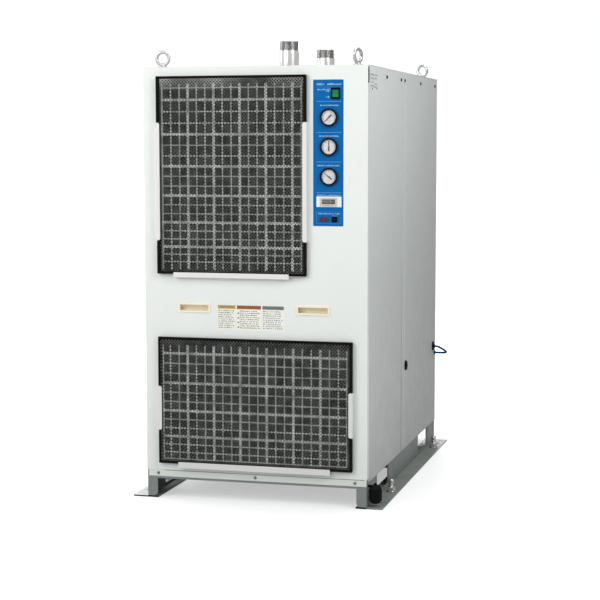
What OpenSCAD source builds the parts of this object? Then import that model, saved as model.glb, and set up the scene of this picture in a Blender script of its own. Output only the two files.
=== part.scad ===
// Refrigerated compressed air dryer, cabinet type, air cooled.
// Millimetres. Origin on the floor under the middle of the cabinet, +Z up, front faces -Y, +X to the right.

/* [Cabinet] */
// Width of the cabinet over its side panels
body_w = 720; // [680:5:800]
// Depth of the cabinet, front panel face to rear panel face
body_d = 1200; // [1180:5:1300]
// Height of the roof above the floor
body_h = 1365; // [1360:5:1440]
// Thickness of the fixed sheet panels
sheet = 1.6; // [1.2:0.2:2.0]
// Thickness of the removable front panel
front_t = 1.2; // [1.0:0.1:1.4]
// Depth of the front panel's return flange
flange_d = 24; // [18:1:30]
// Underside of the front panel above the floor
panel_z0 = 91.4; // [91.4:0.2:93]
// Bottom edge of the side panels above the floor
side_z0 = 80; // [78:1:86]
// Joint between the front and rear side panels, from the middle of the cabinet
seam_y = -64; // [-90:1:-40]

/* [Base rails] */
// Height of the rails
rail_h = 91; // [91:1:91]
// Thickness of the rail sheet
rail_t = 4.5; // [4:0.5:5]
// Width of the outward foot flange, from the cabinet side
foot_w = 48; // [44:1:56]
// Width of each fork pocket
fork_w = 180; // [150:5:190]
// Fork pocket centre, from the middle of the cabinet
fork_y = 353; // [350:1:370]
// Fork pocket bottom and top above the floor
fork_z0 = 14; // [12:1:32]
// Top of the fork pocket
fork_z1 = 78; // [70:1:78]
// Anchor hole radius in the foot flanges
anchor_r = 7; // [6:0.5:8]
// Anchor hole distance from the middle, along the depth
anchor_y = 520; // [500:5:530]

/* [Filters] */
// Thickness of a filter frame
filter_t = 10; // [8:0.5:10]
// Gap between the panel face and the back of a filter
filter_gap = 3.2; // [3.2:0.1:4]
// Width of a thin grid bar
bar_thin = 3.6; // [2:0.2:5]
// Width of a thick grid bar
bar_thick = 7.6; // [5:0.2:9]

/* [Instruments] */
// Gauge bezel radius
gauge_r = 28; // [26:0.5:30]
// Gauge dial radius
dial_r = 21.8; // [20:0.2:22]
// Centre line of the gauges
gauge_x = 238.5; // [236:0.5:241]

/* [Air connections] */
// Outer radius of the connection pipes, 2 inch
pipe_r = 30.25; // [30.25:0.05:30.25]
// Inner radius of the connection pipes
pipe_ri = 26.4; // [26:0.1:27]
// Height of the pipe ends above the roof
pipe_up = 85; // [80:1:95]
// Length of the screwed part
thread_l = 29; // [24:1:34]

/* [Hidden] */
$fn = 48;
hw = body_w / 2;
hd = body_d / 2;
in_x = hw - sheet;              // inner face of the side panels
roof_z0 = body_h - sheet;
web_x1 = in_x;                  // outer face of the rail web
web_x0 = web_x1 - rail_t;
foot_x = hw + foot_w;
bolt_x = hw + 26;
filt_y1 = -hd - filter_gap;     // back of the filters
filt_y0 = filt_y1 - filter_t;   // face of the filters
tab_y0 = filt_y0 - 2;
tab_y1 = filt_y0 - 0.4;
plate_y0 = -hd - 0.2;           // face of the instrument plate
up_x = [-315, 169];  up_z = [720.4, 1337];
lo_x = [-315, 315];  lo_z = [115.4, 520];
up_wx = [-297.6, 155.8];  up_wz = [735.4, 1313];  // windows in the filter frames
lo_wx = [-300, 300];  lo_wz = [129.4, 495];
rim = 7.5;                      // raised outer rim of the filter frames
up_mid = (up_x[0] + up_x[1]) / 2;
gauge_z = [1207, 1117.5, 1026.6];
pipe_y = [-400, 80];
pipe_x = 60;
screw_y = [-324, -89, -26, 263, 551];
slot_y = -hd + 19.5;              // rear edge of the hook slots
tube_out = [545, 369];          // where the drain tube leaves, across and up
tube_back = [583, 340];         // where it goes back in
bowl_c = [381, -572];
level_y = [-352, 430];
fan_z = 1000;
tube_r = 4;
// route of the drain tube's free loop
loop_route = [[369, 545, 369], [376, 545, 368.6], [384, 546, 366], [393, 550, 360.5], [402, 558, 353.5],
              [407.6, 569, 346.5], [404, 578, 342], [395, 582, 340.4], [384, 583, 340], [374, 583, 340],
              [363.2, 583, 340]];

// ---------- helpers ----------
module bx(x0, x1, y0, y1, z0, z1) translate([x0, y0, z0]) cube([x1 - x0, y1 - y0, z1 - z0]);
module both() { children(); mirror([1, 0, 0]) children(); }
module ends() { children(); mirror([0, 1, 0]) children(); }
// cylinder along +Y from y0 to y1
module cyl_y(x, z, r, y0, y1) translate([x, y1, z]) rotate([90, 0, 0]) cylinder(r = r, h = y1 - y0);
// cylinder along +X from x0 to x1
module cyl_x(y, z, r, x0, x1) translate([x0, y, z]) rotate([0, 90, 0]) cylinder(r = r, h = x1 - x0);
// upright plate facing the front, with rounded corners
module plate_y(x0, x1, z0, z1, y0, y1, r) translate([0, y1, 0]) rotate([90, 0, 0])
  linear_extrude(y1 - y0) round_rect(x0, x1, z0, z1, r);
module round_rect(x0, x1, z0, z1, r) {
  translate([x0 + r, z0]) square([x1 - x0 - 2 * r, z1 - z0]);
  translate([x0, z0 + r]) square([x1 - x0, z1 - z0 - 2 * r]);
  for (x = [x0 + r, x1 - r], z = [z0 + r, z1 - r]) translate([x, z]) circle(r);
}

// ---------- base ----------
module rail() difference() {
  union() {
    bx(web_x0, web_x1, -hd + sheet, hd - sheet, 0, rail_h);
    bx(web_x0 - 36, web_x0 + 0.1, -hd + 6, hd - 6, rail_h - rail_t, rail_h);
    bx(web_x0 - 30, web_x0 + 0.1, -hd + sheet, hd - sheet, 0, rail_t);
    ends() translate([0, -hd + sheet + rail_t, 0]) rotate([90, 0, 0]) linear_extrude(rail_t) {
      translate([web_x0 - 27.9, 19]) square([28, rail_h - 19]);
      translate([web_x0 - 13.9, 5]) square([14, 15]);
      translate([web_x0 - 13.9, 19]) circle(14);
    }
  }
  ends() bx(web_x0 - 1, web_x1 + 1, fork_y - fork_w / 2, fork_y + fork_w / 2, fork_z0, fork_z1);
}
module rail_foot() difference() {
  bx(web_x1, foot_x, -hd + sheet, hd - sheet, 0, rail_t);
  ends() translate([bolt_x, anchor_y, -1]) cylinder(r = anchor_r, h = rail_t + 2);
  for (y = level_y) translate([bolt_x, y, -1]) cylinder(r = 8.4, h = rail_t + 2);
}
module right_rail() color([0.42, 0.46, 0.44]) rail();
module left_rail() color([0.42, 0.46, 0.44]) mirror([1, 0, 0]) rail();
module right_rail_foot() color([0.42, 0.46, 0.44]) rail_foot();
module left_rail_foot() color([0.42, 0.46, 0.44]) mirror([1, 0, 0]) rail_foot();

module base_tray() color([0.66, 0.69, 0.68])
  bx(-in_x, in_x, -hd + 26, hd - sheet, rail_h, rail_h + 2.3);

module front_cross_member() color([0.78, 0.82, 0.78]) {
  bx(-in_x, in_x, -hd, -hd + sheet, rail_h - 21, rail_h);
  bx(-web_x0 + 36.2, web_x0 - 36.2, -hd + sheet, -hd + 30, rail_h - 3.2, rail_h);
}

module cross_beams() color([0.42, 0.46, 0.44]) {
  bx(-in_x, in_x, hd - sheet, hd, rail_h - 21, side_z0 - 0.2);
  bx(-web_x0 + 36.2, web_x0 - 36.2, hd - 30, hd - sheet, rail_h - 3.2, rail_h);
  for (y = [-180, 180]) bx(-web_x0, web_x0, y - 20, y + 20, 50, rail_h - rail_t);
  bx(-web_x0 + 28.1, web_x0 - 28.1, -hd + sheet, -hd + sheet + rail_t, 62.5, rail_h - 3.3);
}

module levelling_bolts() color([0.75, 0.76, 0.76]) both() for (y = level_y) translate([bolt_x, y, 0]) {
  cylinder(r = 8, h = 46);
  translate([0, 0, rail_t]) cylinder(r = 15, h = 3);
  translate([0, 0, rail_t + 3]) cylinder(r = 13.8, h = 13, $fn = 6);
  translate([0, 0, 36]) cylinder(r = 9.2, h = 10);
}

// ---------- frame ----------
module angle_post(z0, z1) {
  bx(in_x - 40, in_x, -hd + sheet, -hd + sheet + 2.3, z0, z1);
  bx(in_x - 2.3, in_x, -hd + sheet, -hd + sheet + 40, z0, z1);
}
module inner_frame() color([0.70, 0.72, 0.71]) difference() {
  union() {
    frame_posts();
    frame_rails();
  }
  both() hook_slot();
  cyl_x(tube_back[0], tube_back[1], 6, in_x - 10, in_x + 1);
}
module hook_slot() bx(hw - 8, hw + 5, -hd + 1, slot_y, 1311, 1360);
module frame_posts() {
  both() angle_post(rail_h + 2.31, roof_z0);
  both() mirror([0, 1, 0]) angle_post(rail_h + 2.31, roof_z0);
  both() bx(in_x - 2.3, in_x, seam_y - 30, seam_y + 30, rail_h + 2.31, roof_z0);
}
module frame_rails() {
  rx = in_x - 2.3;
  ry = hd - sheet - 2.3;
  difference() {
    union() {
      both() bx(rx - 2.3, rx, -ry, ry, roof_z0 - 30, roof_z0);
      ends() bx(-rx, rx, ry - 2.3, ry, roof_z0 - 30, roof_z0);
      both() ends() bx(rx - 75, rx, ry - 90, ry, roof_z0 - 6, roof_z0);
      for (y = pipe_y) bx(-rx, rx, y - 45, y + 45, roof_z0 - 3.2, roof_z0);
    }
    both() ends() translate([hw - 45, hd - 58, roof_z0 - 20]) cylinder(r = 6, h = 30);
    for (y = pipe_y) translate([pipe_x, y, roof_z0 - 20]) cylinder(r = pipe_r + 0.35, h = 30);
  }
  // rail across the front between the two filters, and its bearers for the instrument bracket
  bx(-rx, rx, -ry, -ry + 2.3, 644, 684);
  bx(-rx, rx, -ry + 2.3, -ry + 26, 644, 646.3);
}

// ---------- fixed panels ----------
module roof_panel() color([0.87, 0.89, 0.87]) difference() {
  bx(-hw, hw, -hd + flange_d + 0.5, hd, roof_z0, body_h);
  both() ends() translate([hw - 45, hd - 58, roof_z0 - 1]) cylinder(r = 6.6, h = 5);
  for (y = pipe_y) translate([pipe_x, y, roof_z0 - 1]) cylinder(r = pipe_r + 0.6, h = 5);
}
module side_sheet(y0, y1) bx(in_x, hw, y0, y1, side_z0, roof_z0);
module rear_side() {
  side_sheet(seam_y + 1, hd - sheet);
  bx(hw - 0.1, hw + 1.6, seam_y + 1, seam_y + 15, side_z0, roof_z0);
}
module left_side_panel_front() color([0.80, 0.82, 0.81]) mirror([1, 0, 0])
  side_sheet(-hd + flange_d + 1, seam_y - 1);
module left_side_panel_rear() color([0.80, 0.82, 0.81]) mirror([1, 0, 0]) rear_side();
module right_side_panel_front() color([0.80, 0.82, 0.81])
  side_sheet(-hd + flange_d + 1, seam_y - 1);
module right_side_panel_rear() color([0.80, 0.82, 0.81]) difference() {
  rear_side();
  cyl_x(10, 368, 12, in_x - 1, hw + 1);
  cyl_x(tube_out[0], tube_out[1], 11, in_x - 1, hw + 1);
  cyl_x(tube_back[0], tube_back[1], 5, in_x - 1, hw + 1);
}
module rear_panel() color([0.80, 0.82, 0.81]) difference() {
  bx(-hw, hw, hd - sheet, hd, side_z0, roof_z0);
  for (c = [-1, 0, 1], k = [0 : 13])
    plate_y(c * 145 - 62, c * 145 + 62, 770 + k * 36, 780 + k * 36, hd - 5, hd + 5, 4);
}
module panel_screws() color([0.72, 0.73, 0.72]) {
  both() for (y = screw_y) cyl_x(y, body_h - 27, 5.4, hw, hw + 3.6);
  for (x = [-322, 0, 322]) cyl_y(x, 80.5, 4.6, -hd - 2.2, -hd);
}

// ---------- removable front panel ----------
module front_panel() color([0.87, 0.90, 0.88]) difference() {
  bx(-hw, hw, -hd, -hd + front_t, panel_z0, body_h);
  bx(-301, 158, -hd - 5, -hd + 5, 738, 1312);
  bx(-298, 298, -hd - 5, -hd + 5, 132, 496);
  bx(188.4, 284.1, -hd - 5, -hd + 5, 875.4, 1321.6);
  for (x = [-198, 188]) bx(x - 50.3, x + 50.3, -hd - 5, -hd + 5, 603.2, 625.8);
}
// turned-back edges of the front panel: both sides and the top in one piece, and a lip along the bottom
module front_panel_flanges() color([0.87, 0.90, 0.88]) difference() {
  union() {
    both() bx(hw - front_t, hw, -hd + front_t, -hd + flange_d, panel_z0, body_h);
    bx(-hw, hw, -hd + front_t, -hd + flange_d, body_h - front_t, body_h);
    bx(-hw + 30, hw - 30, -hd + front_t, -hd + 15, panel_z0, panel_z0 + front_t);
  }
  both() hook_slot();
}
module side_tab(z0, z1) {
  translate([-317.4, tab_y1, 0]) rotate([90, 0, 0]) linear_extrude(tab_y1 - tab_y0) {
    translate([0, z0]) square([7, z1 - z0]);
    translate([0, z0 + 6]) square([13.4, z1 - z0 - 12]);
    translate([7.4, z0 + 6]) circle(6);
    translate([7.4, z1 - 6]) circle(6);
  }
  bx(-317.4, -315.6, tab_y1 - 0.1, -hd, z0, z1);
}
module ledge(x0, x1, z0, z1, zs) {
  bx(x0, x1, tab_y0, tab_y0 + 1.6, z0, z1);
  bx(x0, x1, tab_y0, -hd, zs - 1.6, zs);
  bx(x0, x1, tab_y0, tab_y0 + 6, z0, z0 + 1.6);
}
module filter_brackets() color([0.90, 0.92, 0.90]) {
  ledge(-261, 114, 710.4, 726, 720);
  side_tab(826, 1193);
  translate([2 * up_mid, 0, 0]) mirror([1, 0, 0]) side_tab(826, 1193);
  ledge(-250, 245, 102, 121, 115);
  both() side_tab(223, 363);
}
module pull_handles() color([0.93, 0.87, 0.72]) for (x = [-198, 188]) translate([x, 0, 0]) difference() {
  union() {
    plate_y(-54, 54, 599.5, 629.5, -hd - 2.4, -hd, 4);
    bx(-50, 50, -hd - 1, -hd + 20, 603.5, 625.5);
  }
  bx(-47.6, 47.6, -hd - 4, -hd + 17.6, 605.5, 623.5);
}
module information_label() color([0.86, 0.84, 0.74]) {
  bx(-121, -61, -hd - 0.3, -hd, 546, 626);
  bx(-58.5, 22, -hd - 0.3, -hd, 546, 626);
  bx(24.5, 96, -hd - 0.3, -hd, 546, 626);
}

// ---------- filters ----------
function up_row(k) = 1300.5 - 37.6 * k + 0.42 * k * k;
function lo_row(k) = 468.8 - 32.6 * k + 0.35 * k * k;
module frame_ring(x, z, win_x, win_z) color([0.06, 0.06, 0.065]) difference() {
  bx(x[0], x[1], filt_y0, filt_y1, z[0], z[1]);
  bx(win_x[0], win_x[1], filt_y0 - 1, filt_y1 + 1, win_z[0], win_z[1]);
  bx(x[0] + rim, x[1] - rim, filt_y0 - 1, filt_y0 + 2.4, z[0] + rim, z[1] - rim);
}
module upper_filter_frame() frame_ring(up_x, up_z, up_wx, up_wz);
module lower_filter_frame() frame_ring(lo_x, lo_z, lo_wx, lo_wz);
module v_bar(x, w, z0, z1, t) bx(x - w / 2, x + w / 2, filt_y0 + 2 - t, filt_y0 + 4, z0, z1);
module h_bar(z, w, x0, x1, t) bx(x0, x1, filt_y0 + 2 - t, filt_y0 + 4, z - w / 2, z + w / 2);
module upper_filter_grid() color([0.66, 0.68, 0.67]) {
  x0 = up_wx[0]; x1 = up_wx[1]; z0 = up_wz[0]; z1 = up_wz[1];
  for (i = [1 : 15]) v_bar(-295 + 28.05 * i, i % 3 == 0 ? bar_thick : bar_thin, z0, z1, i % 3 == 0 ? 1 : 0);
  for (x = [x0 + 2, x1 - 2]) v_bar(x, 4, z0, z1, 0);
  for (k = [0 : 18]) h_bar(up_row(k), k % 3 == 1 ? bar_thick : bar_thin, x0, x1, k % 3 == 1 ? 1 : 0);
}
module lower_filter_grid() color([0.66, 0.68, 0.67]) {
  x0 = lo_wx[0]; x1 = lo_wx[1]; z0 = lo_wz[0]; z1 = lo_wz[1];
  for (i = [1 : 20]) v_bar(-303.5 + 28.75 * i, i % 3 == 0 ? bar_thick : bar_thin, z0, z1, i % 3 == 0 ? 1 : 0);
  for (x = [x0 + 1.6, x1 - 1.6]) v_bar(x, 3.2, z0, z1, 0);
  h_bar(z0 + 1.6, 3.2, x0, x1, 0);
  for (k = [0 : 11]) h_bar(lo_row(k), k % 3 == 0 ? bar_thick : bar_thin, x0, x1, k % 3 == 0 ? 1 : 0);
}
module upper_filter_net() color([0.16, 0.18, 0.19])
  bx(up_wx[0], up_wx[1], filt_y0 + 4, filt_y0 + 5.2, up_wz[0], up_wz[1]);
module lower_filter_net() color([0.16, 0.18, 0.19])
  bx(lo_wx[0], lo_wx[1], filt_y0 + 4, filt_y0 + 5.2, lo_wz[0], lo_wz[1]);

// ---------- instruments ----------
module instrument_holes(y0, y1) {
  for (z = gauge_z) cyl_y(gauge_x, z, 25.4, y0, y1);
  bx(259 - 11.2, 259 + 11.2, y0, y1, 1280 - 15.2, 1280 + 15.2);
  bx(222 - 9, 222 + 9, y0, y1, 897 - 5, 897 + 5);
  bx(256 - 7, 256 + 7, y0, y1, 897 - 7, 897 + 7);
  bx(237 - 24, 237 + 24, y0, y1, 950 - 10, 950 + 10);
}
module instrument_plate() color([0.03, 0.38, 0.70]) difference() {
  plate_y(189, 283.5, 876, 1321, plate_y0, plate_y0 + 2, 4);
  instrument_holes(-hd - 5, -hd + 5);
}
module instrument_bracket() color([0.70, 0.72, 0.71]) difference() {
  union() {
    bx(176, 296, plate_y0 + 2, plate_y0 + 3.6, 684, 1333.4);
    bx(176, 177.6, plate_y0 + 3.6, -hd + 48, 690, 1330);
    bx(294.4, 296, plate_y0 + 3.6, -hd + 48, 690, 1330);
  }
  instrument_holes(-hd - 5, -hd + 5);
}
module gauge_cases() color([0.07, 0.07, 0.075]) for (z = gauge_z) difference() {
  union() {
    cyl_y(gauge_x, z, gauge_r, plate_y0 - 7, plate_y0);
    cyl_y(gauge_x, z, 25, plate_y0 - 1, plate_y0 + 30);
    cyl_y(gauge_x, z, 6, plate_y0 + 30, plate_y0 + 44);
  }
  cyl_y(gauge_x, z, 22, plate_y0 - 8, plate_y0 - 1);
}
module gauge_dials() color([0.95, 0.95, 0.93]) for (z = gauge_z) {
  cyl_y(gauge_x, z, dial_r, plate_y0 - 1.8, plate_y0 - 1);
  cyl_y(gauge_x, z, 0.9, plate_y0 - 4.2, plate_y0 - 1.7);
}
module gauge_lenses() color([0.9, 0.95, 1.0, 0.35]) for (z = gauge_z)
  cyl_y(gauge_x, z, 21.95, plate_y0 - 6.4, plate_y0 - 5.2);
// pointer turned clockwise by a degrees from straight up
module needle(z, a) color([0.05, 0.05, 0.05]) translate([gauge_x, plate_y0 - 2.8, z]) rotate([90, a, 0])
  difference() {
    linear_extrude(0.9) {
      polygon([[-1.5, 0], [1.5, 0], [0.7, 17.8], [-0.7, 17.8]]);
      polygon([[-2.3, -11.5], [2.3, -11.5], [1.7, 0], [-1.7, 0]]);
      circle(3.1);
    }
    translate([0, 0, -1]) cylinder(r = 0.95, h = 4);
  }
module needle_1() needle(gauge_z[0], -135);
module needle_2() needle(gauge_z[1], 0);
module needle_3() needle(gauge_z[2], -54);

switch_c = [259, 1280];
module switch_frame() color([0.06, 0.06, 0.065]) difference() {
  union() {
    plate_y(switch_c[0] - 14, switch_c[0] + 14, switch_c[1] - 17.5, switch_c[1] + 17.5, plate_y0 - 3, plate_y0, 2);
    bx(switch_c[0] - 11, switch_c[0] + 11, plate_y0 - 1, plate_y0 + 12, switch_c[1] - 15, switch_c[1] + 15);
  }
  bx(switch_c[0] - 9.8, switch_c[0] + 9.8, plate_y0 - 4, plate_y0 + 6, switch_c[1] - 12.8, switch_c[1] + 12.8);
  cyl_x(plate_y0 + 1, switch_c[1], 1.25, switch_c[0] - 10.7, switch_c[0] + 10.7);
}
module switch_rocker() color([0.10, 0.62, 0.27]) translate([switch_c[0], plate_y0 + 1, switch_c[1]])
  rotate([8, 0, 0]) {
    translate([-9.4, 0, 0]) rotate([90, 0, 90]) linear_extrude(18.8)
      polygon([[-5.4, 11], [-3.6, 0], [-5.4, -11], [2, -9], [2, 9]]);
    translate([-10.5, 0, 0]) rotate([0, 90, 0]) cylinder(r = 1.2, h = 21);
  }
module hour_meter() color([0.85, 0.80, 0.72]) difference() {
  union() {
    plate_y(210, 264, 937, 963, plate_y0 - 2.4, plate_y0, 1.5);
    bx(213.4, 260.6, plate_y0 - 1, plate_y0 + 32, 940.4, 959.6);
  }
  bx(216, 258, plate_y0 - 4, plate_y0 - 1.4, 942, 958);
}
module alarm_lamp() color([0.72, 0.16, 0.14]) {
  plate_y(209, 235, 890.5, 903.5, plate_y0 - 3.4, plate_y0, 2);
  bx(213.4, 230.6, plate_y0 - 1, plate_y0 + 20, 892.4, 901.6);
}
module button_frame() color([0.07, 0.07, 0.075]) difference() {
  union() {
    plate_y(247.4, 264.6, 888.4, 905.6, plate_y0 - 2.2, plate_y0, 1.5);
    bx(249.4, 262.6, plate_y0 - 1, plate_y0 + 18, 890.4, 903.6);
  }
  bx(250.6, 261.4, plate_y0 - 3, plate_y0 + 14, 891.6, 902.4);
}
module reset_button() color([0.12, 0.12, 0.13]) bx(251, 261, plate_y0 - 5, plate_y0 + 8, 892, 902);

// ---------- roof fittings ----------
module eye_bolt(a) rotate([0, 0, a]) {
  difference() {
    union() {
      translate([0, 0, 30]) rotate([90, 0, 0]) rotate_extrude() translate([20, 0]) circle(5, $fn = 24);
      cylinder(r = 15, h = 4);
      translate([0, 0, 4]) cylinder(r1 = 11, r2 = 7, h = 6);
    }
    translate([0, 0, 30]) rotate([90, 0, 0]) cylinder(r = 14.2, h = 14, center = true);
  }
  translate([0, 0, -28]) cylinder(r = 5.95, h = 28.5);
}
module eye_bolts() color([0.80, 0.81, 0.80]) {
  translate([-hw + 45, -hd + 58, body_h]) eye_bolt(0);
  translate([hw - 45, -hd + 58, body_h]) eye_bolt(70);
  translate([-hw + 45, hd - 58, body_h]) eye_bolt(-30);
  translate([hw - 45, hd - 58, body_h]) eye_bolt(-24);
}
module air_pipe(y) color([0.62, 0.63, 0.62]) translate([pipe_x, y, 0]) difference() {
  union() {
    translate([0, 0, 1180]) cylinder(r = pipe_r, h = body_h + pipe_up - thread_l - 1180);
    translate([0, 0, body_h + pipe_up - thread_l - 1]) cylinder(r = 29.8, h = thread_l + 1);
  }
  translate([0, 0, 1179]) cylinder(r = pipe_ri, h = 400);
}
module air_inlet_pipe() air_pipe(pipe_y[0]);
module air_outlet_pipe() air_pipe(pipe_y[1]);

// ---------- inside ----------
module compressor() color([0.10, 0.10, 0.11]) translate([-170, -260, 0]) {
  translate([0, 0, 130]) cylinder(r = 92, h = 310);
  translate([0, 0, 440]) cylinder(r1 = 92, r2 = 50, h = 36);
  translate([0, 0, 114]) cylinder(r = 78, h = 17);
  bx(-115, 115, -95, 95, 108, 114);
  bx(88, 128, -40, 40, 300, 390);
}
module compressor_feet() color([0.05, 0.05, 0.05]) for (x = [-275, -65], y = [-345, -175])
  translate([x, y, rail_h + 2.3]) cylinder(r = 16, h = 108 - rail_h - 2.3);
module condenser_coil() color([0.70, 0.71, 0.72]) {
  bx(-270, 270, 430, 490, 706, 1294);
  for (s = [-1, 1]) bx(s * 280 - 10, s * 280 + 10, 420, 500, 700, 1300);
  both() bx(280, 284, 440, 480, 93.3, 720);
}
module fan_shroud() color([0.25, 0.26, 0.26]) difference() {
  union() {
    bx(-290, 290, 500.01, 502.3, 700, 1300);
    cyl_y(0, fan_z, 222, 502.2, 545);
  }
  cyl_y(0, fan_z, 219, 499, 546);
}
module fan_motor() color([0.12, 0.12, 0.13]) {
  cyl_y(0, fan_z, 48, 548, 586);
  for (a = [0 : 90 : 270]) translate([0, 0, fan_z]) rotate([0, a + 45, 0]) bx(46, 221, 552, 556, -8, 8);
  for (a = [0 : 90 : 270]) translate([0, 0, fan_z]) rotate([0, a + 45, 0]) bx(216, 221, 545, 552.1, -8, 8);
  cyl_y(0, fan_z, 6, 512, 549);
}
module fan_rotor() color([0.15, 0.15, 0.16]) difference() {
  union() {
    cyl_y(0, fan_z, 42, 512, 544);
    for (a = [0 : 72 : 288]) translate([0, 528, fan_z]) rotate([0, a, 0]) rotate([0, 0, 0])
      rotate([28, 0, 0]) bx(38, 205, -1.5, 1.5, -28, 28);
  }
  cyl_y(0, fan_z, 6.05, 500, 550);
}
module heat_exchanger() color([0.20, 0.21, 0.22]) difference() {
  union() {
    bx(-30, 150, -460, 140, 900, 1170);
    for (y = pipe_y) translate([pipe_x, y, 1169]) cylinder(r = 40, h = 11);
    both() bx(150, 152, -20, 20, 1000, 1002);
  }
  both() bx(149.9, 155, -30, 30, 990, 1010);
  for (y = pipe_y) translate([pipe_x, y, 1140]) cylinder(r = pipe_ri, h = 60);
}
module moisture_separator() color([0.22, 0.23, 0.24]) {
  translate([60, -160, 600]) cylinder(r = 62, h = 300);
  translate([60, -160, rail_h + 2.3]) cylinder(r = 25, h = 340);
  translate([60, -160, 430]) cylinder(r1 = 25, r2 = 62, h = 170.1);
}
module auto_drain() color([0.10, 0.10, 0.11]) {
  translate([190, -160, rail_h + 2.3]) cylinder(r = 34, h = 150);
  cyl_x(-160, 200, 9, 85, 158);
}
module refrigerant_piping() color([0.72, 0.42, 0.25]) {
  // liquid line, suction line and hot gas line as plain runs
  translate([-250, 150, 93.3]) cylinder(r = 45, h = 260);
  translate([-250, 150, 353]) cylinder(r = 8, h = 360);
  translate([-250, 142, 713]) rotate([-90, 0, 0]) cylinder(r = 8, h = 288);
  cyl_x(-260, 980, 8, -178, -30);
  translate([-170, -260, 476]) cylinder(r = 8, h = 512);
}
module electrical_box() color([0.80, 0.82, 0.80]) bx(176, 352, -hd + 48, -430, 700, 1325);

// ---------- right side fittings ----------
module power_bushing() color([0.05, 0.05, 0.05]) difference() {
  union() {
    cyl_x(10, 368, 16.5, hw, hw + 5);
    cyl_x(10, 368, 11.9, in_x - 8, hw + 1);
    cyl_x(10, 368, 16.5, in_x - 12, in_x - 7.9);
  }
  cyl_x(10, 368, 8, in_x - 20, hw + 10);
}
module drain_tube_fitting() color([0.05, 0.05, 0.06]) {
  cyl_x(tube_out[0], tube_out[1], 17, hw, hw + 4);
  cyl_x(tube_out[0], tube_out[1], 10.9, in_x - 14, hw + 1);
  cyl_x(tube_out[0], tube_out[1], 6.5, hw + 3.9, hw + 9);
  cyl_x(tube_back[0], tube_back[1], 7.5, hw, hw + 3.2);
  cyl_x(tube_back[0], tube_back[1], 4.9, in_x - 6, hw + 0.1);
}

// round tube swept along a flat route
loop_n = [0, 29, 38] / norm([0, 29, 38]);
function spline(a, b, c, d, t) = 0.5 * (2 * b + (c - a) * t + (2 * a - 5 * b + 4 * c - d) * t * t
  + (3 * b - a - 3 * c + d) * t * t * t);
function route_at(p, i, t) = let (n = len(p) - 1)
  spline(p[max(i - 1, 0)], p[i], p[min(i + 1, n)], p[min(i + 2, n)], t);
function fine(p, m) = [for (i = [0 : len(p) - 2], j = [0 : m - 1]) route_at(p, i, j / m),
  p[len(p) - 1]];
function dir(p, i) = let (d = p[min(i + 1, len(p) - 1)] - p[max(i - 1, 0)]) d / norm(d);
module sweep(p, r, s, m = loop_n) {
  n = len(p);
  pts = [for (i = [0 : n - 1], j = [0 : s - 1]) let (t = dir(p, i), b = cross(t, m), a = 360 * j / s)
    p[i] + r * (cos(a) * m + sin(a) * b / norm(b))];
  faces = concat([[for (j = [0 : s - 1]) j]], [[for (j = [s - 1 : -1 : 0]) (n - 1) * s + j]],
    [for (i = [0 : n - 2], j = [0 : s - 1]) [i * s + j, (i + 1) * s + j, (i + 1) * s + (j + 1) % s,
      i * s + (j + 1) % s]]);
  polyhedron(points = pts, faces = faces, convexity = 4);
}
module drain_tube() color([0.06, 0.36, 0.55]) sweep(fine(loop_route, 2), tube_r, 10);

module strainer_head() color([0.05, 0.05, 0.055]) {
  translate([bowl_c[0], bowl_c[1], 62]) cylinder(r1 = 18.6, r2 = 13, h = 9.5);
  translate([bowl_c[0], bowl_c[1], 70]) cylinder(r = 4.6, h = 8);
  translate([bowl_c[0], bowl_c[1], 50]) cylinder(r = 14, h = 12.5);
  cyl_x(bowl_c[1], 67.6, 4.5, web_x1, bowl_c[0] - 10);
}
module strainer_bowl() color([0.05, 0.05, 0.055]) translate([bowl_c[0], bowl_c[1], 0]) difference() {
  union() {
    translate([0, 0, 15]) cylinder(r1 = 12, r2 = 18.6, h = 7.5);
    translate([0, 0, 22.4]) cylinder(r = 18.6, h = 39.2);
    for (a = [0 : 45 : 315]) rotate([0, 0, a]) translate([17.4, 0, 25]) cylinder(r = 3.1, h = 32);
  }
  translate([0, 0, 30]) cylinder(r = 14.06, h = 60);
}

left_rail();
right_rail();
base_tray();
front_cross_member();
cross_beams();
inner_frame();
left_rail_foot();
right_rail_foot();
roof_panel();
left_side_panel_front();
left_side_panel_rear();
right_side_panel_front();
right_side_panel_rear();
rear_panel();
front_panel();
front_panel_flanges();
filter_brackets();
pull_handles();
information_label();
upper_filter_frame();
upper_filter_grid();
upper_filter_net();
lower_filter_frame();
lower_filter_grid();
lower_filter_net();
instrument_plate();
instrument_bracket();
gauge_cases();
gauge_dials();
gauge_lenses();
needle_1();
needle_2();
needle_3();
switch_frame();
switch_rocker();
hour_meter();
alarm_lamp();
button_frame();
reset_button();
eye_bolts();
air_inlet_pipe();
air_outlet_pipe();
compressor();
compressor_feet();
condenser_coil();
fan_shroud();
fan_motor();
fan_rotor();
heat_exchanger();
moisture_separator();
auto_drain();
refrigerant_piping();
electrical_box();
power_bushing();
drain_tube_fitting();
drain_tube();
strainer_head();
strainer_bowl();
panel_screws();
levelling_bolts();
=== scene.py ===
import math
import random
import bpy
import bmesh
from mathutils import Vector, Matrix


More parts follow.
